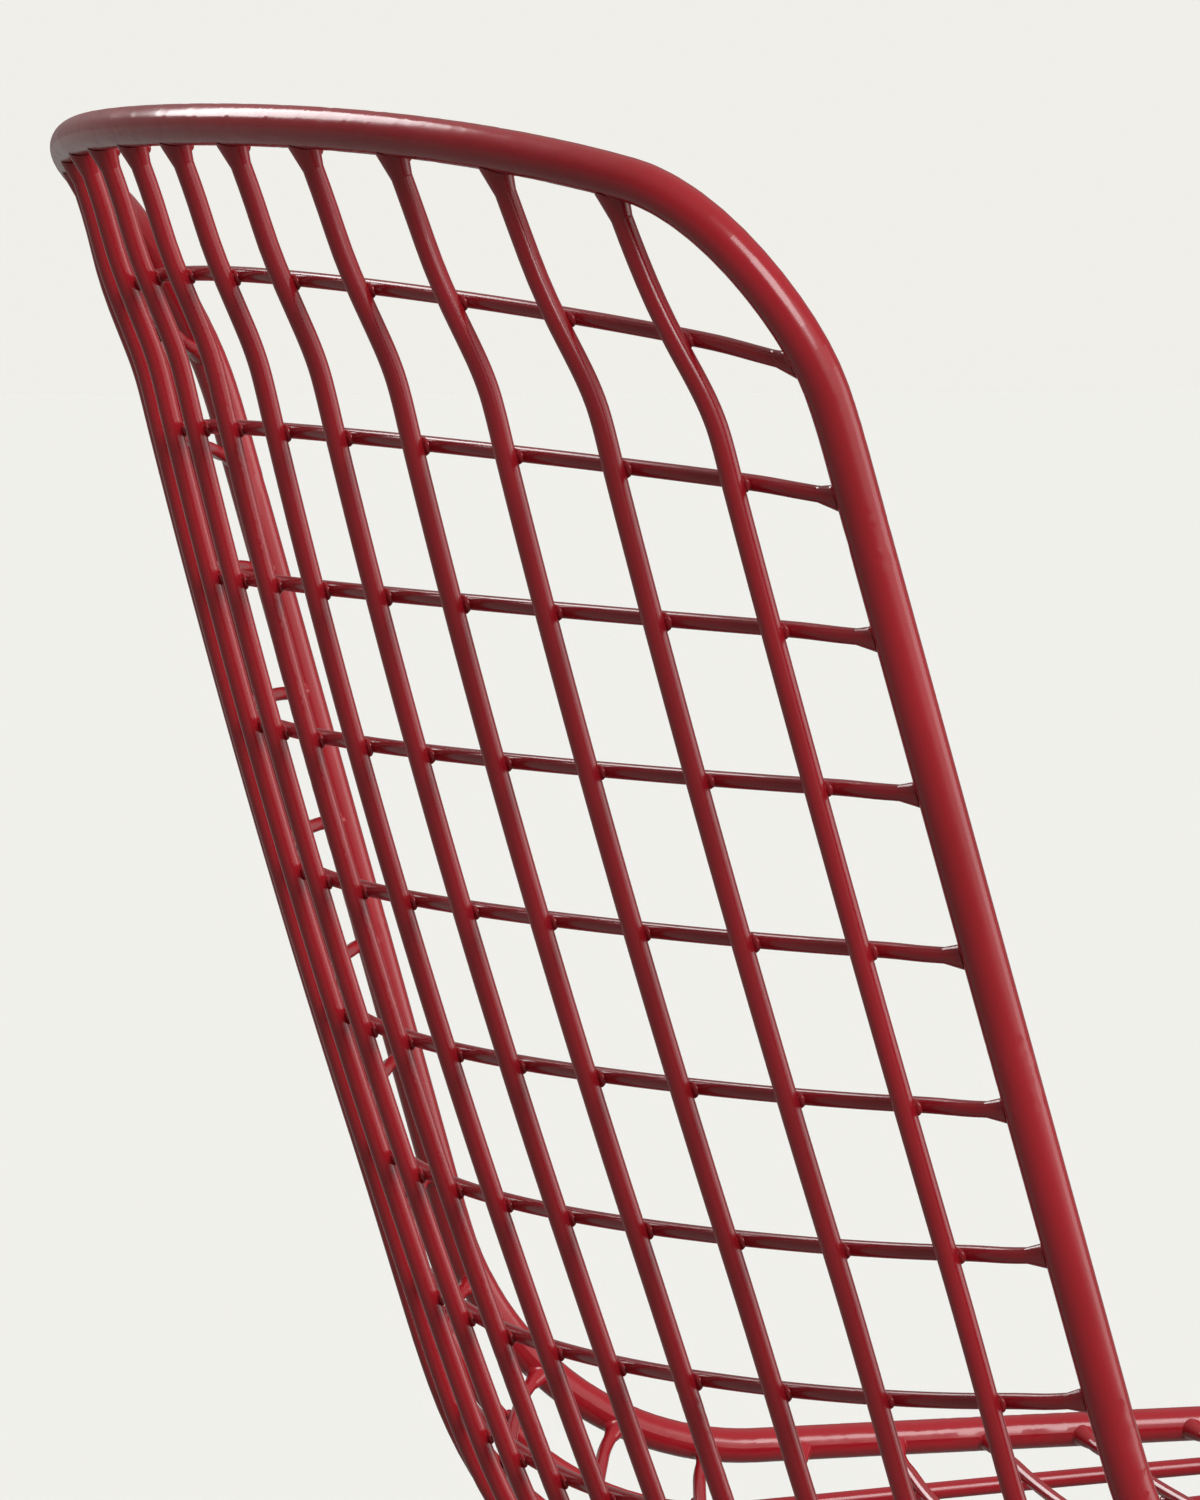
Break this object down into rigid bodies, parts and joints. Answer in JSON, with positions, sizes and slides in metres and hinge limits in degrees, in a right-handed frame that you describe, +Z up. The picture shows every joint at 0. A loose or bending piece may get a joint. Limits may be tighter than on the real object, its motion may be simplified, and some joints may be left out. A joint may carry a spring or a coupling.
{
  "type": "wire dining chair",
  "caption": "Armless dining chair with a one-piece seat and back shell of welded painted wire mesh in a thick bent rim, carried on two bent-rod leg frames with plastic foot glides",
  "frame": {"origin": "On the floor, under the middle of the chair's bounding box", "axes": "+X is the sitter's left, +Y is the back of the chair (the sitter faces -Y), +Z is up"},
  "size_m": [0.491, 0.5439, 0.8195],
  "materials": {
    "shell_paint": "semi-gloss wine-red powder coat on steel wire",
    "leg_paint": "semi-gloss wine-red powder coat on steel rod",
    "glide_plastic": "fine matte black moulded plastic"
  },
  "bodies": {
    "root": {"shell_rim": "shell_paint", "long_wire_1": "shell_paint", "long_wire_2": "shell_paint", "long_wire_3": "shell_paint", "long_wire_4": "shell_paint", "long_wire_5": "shell_paint", "long_wire_6": "shell_paint", "long_wire_7": "shell_paint", "long_wire_8": "shell_paint", "long_wire_9": "shell_paint", "long_wire_10": "shell_paint", "long_wire_11": "shell_paint", "long_wire_12": "shell_paint", "long_wire_13": "shell_paint", "back_row_1": "shell_paint", "back_row_2": "shell_paint", "back_row_3": "shell_paint", "back_row_4": "shell_paint", "back_row_5": "shell_paint", "back_row_6": "shell_paint", "back_row_7": "shell_paint", "back_row_8": "shell_paint", "back_row_9": "shell_paint", "back_row_10": "shell_paint", "seat_row_1": "shell_paint", "seat_row_2": "shell_paint", "seat_row_3": "shell_paint", "seat_row_4": "shell_paint", "seat_row_5": "shell_paint", "seat_row_6": "shell_paint", "seat_row_7": "shell_paint", "seat_row_8": "shell_paint", "seat_row_9": "shell_paint", "seat_row_10": "shell_paint", "front_leg_frame": "leg_paint", "rear_leg_frame": "leg_paint", "left_stretcher": "leg_paint", "right_stretcher": "leg_paint", "front_left_glide": "glide_plastic", "front_right_glide": "glide_plastic", "rear_left_glide": "glide_plastic", "rear_right_glide": "glide_plastic"}
  },
  "joints": []
}
